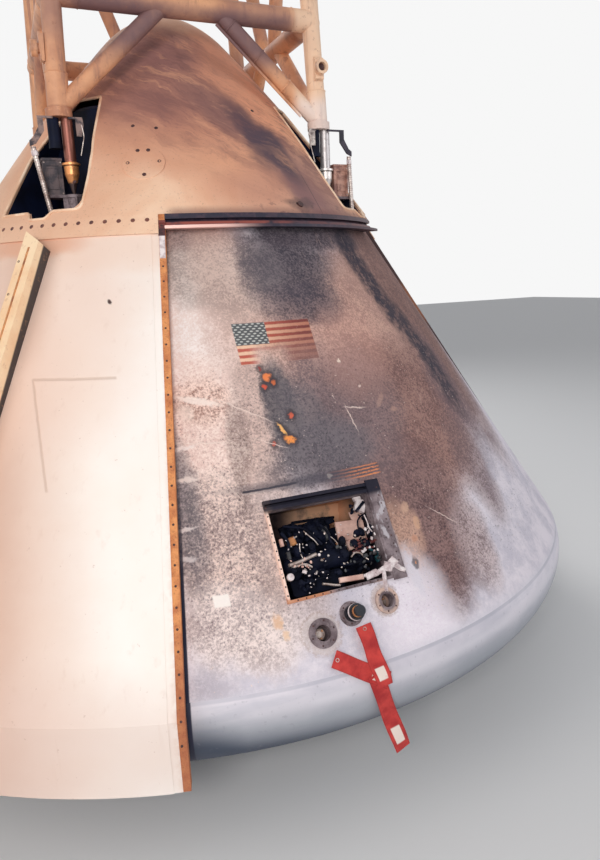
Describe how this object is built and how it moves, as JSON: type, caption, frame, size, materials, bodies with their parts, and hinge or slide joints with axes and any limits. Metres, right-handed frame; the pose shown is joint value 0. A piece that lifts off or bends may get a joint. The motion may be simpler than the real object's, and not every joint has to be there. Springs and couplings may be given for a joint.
{
  "type": "fire-damaged space capsule with boost cover and escape tower truss",
  "caption": "Conical crew capsule on a dished heat shield, with a partly removed boost cover, an open access bay, an opening crew hatch and a tubular escape tower.",
  "frame": {"origin": "lowest point of the dished heat shield, on the capsule's axis", "axes": "+Z along the axis to the nose, -Y to the access opening, +X to its right seen from outside"},
  "size_m": [4.0058, 3.9928, 5.642],
  "materials": {
    "aft_ablator": "scorched ablative paint",
    "shield_paint": "grey thermal paint, charred and scratched",
    "cabin_metal": "bare, smoke stained",
    "bay_lining": "charred primer",
    "fitting_metal": "sooted",
    "charred_units": "burnt black",
    "nose_paint": "tan paint with smoke streaks",
    "well_lining": "sooted nearly black",
    "plug_rubber": "black with a pale collar",
    "streamer_cloth": "faded red",
    "box_grey": "dark grey paint",
    "pale_metal": "dull",
    "sooted_metal": "brown scorched",
    "edge_cork": "raw cork edge",
    "cover_paint": "cream white paint",
    "tower_paint": "tan paint",
    "stud_bronze": "dull bronze",
    "window_glass": "smoked",
    "couch_metal": "charred",
    "panel_grey": "scorched grey paint"
  },
  "bodies": {
    "capsule": {"aft_heat_shield": "aft_ablator", "crew_heat_shield": "shield_paint", "cabin_shell": "cabin_metal", "cabin_floor": "cabin_metal", "cabin_rim": "cabin_metal", "cabin_roof": "cabin_metal", "leg_well_liners": "well_lining", "bay_bottle": "charred_units", "port_plug": "plug_rubber", "port_streamers": "streamer_cloth", "leg_boots": "sooted_metal", "leg_actuators": "box_grey", "leg_brackets": "pale_metal", "leg_conduits": "pale_metal", "tower_eyes": "tower_paint", "cabin_ring": "cabin_metal", "forward_deck": "cabin_metal", "forward_tunnel": "cabin_metal", "hatch_frame": "cabin_metal", "access_bay": "bay_lining", "access_frame": "fitting_metal", "bay_units": "charred_units", "service_ports": "fitting_metal", "boost_cover_apex": "nose_paint", "splice_strap": "nose_paint", "edge_channel": "sooted_metal", "seam_strips": "edge_cork", "cover_duct": "cover_paint", "leg_fittings": "fitting_metal", "tower_legs": "tower_paint", "tower_rails": "tower_paint", "tower_braces": "tower_paint", "tower_feet": "tower_paint", "tower_studs": "stud_bronze", "tower_top_plates": "tower_paint", "hatch_hinge_brackets": "fitting_metal", "crew_couches": "couch_metal", "couch_frame": "couch_metal", "display_panel": "panel_grey", "boost_cover_left": "cover_paint", "boost_cover_back": "cover_paint", "boost_cover_right": "cover_paint"},
    "hatch": {"crew_hatch": "shield_paint", "cover_hatch": "cover_paint", "hatch_glass": "window_glass", "window_ring": "fitting_metal", "hatch_hinge_arms": "fitting_metal", "hatch_handle": "fitting_metal", "hatch_latches": "fitting_metal"}
  },
  "joints": [
    {"name": "hatch_hinge", "type": "hinge", "parent": "capsule", "child": "hatch", "pos_m": [-0.455, 1.30982, 1.65362], "axis": [0, -0.5446, 0.8387], "range_deg": [0, 110]}
  ]
}
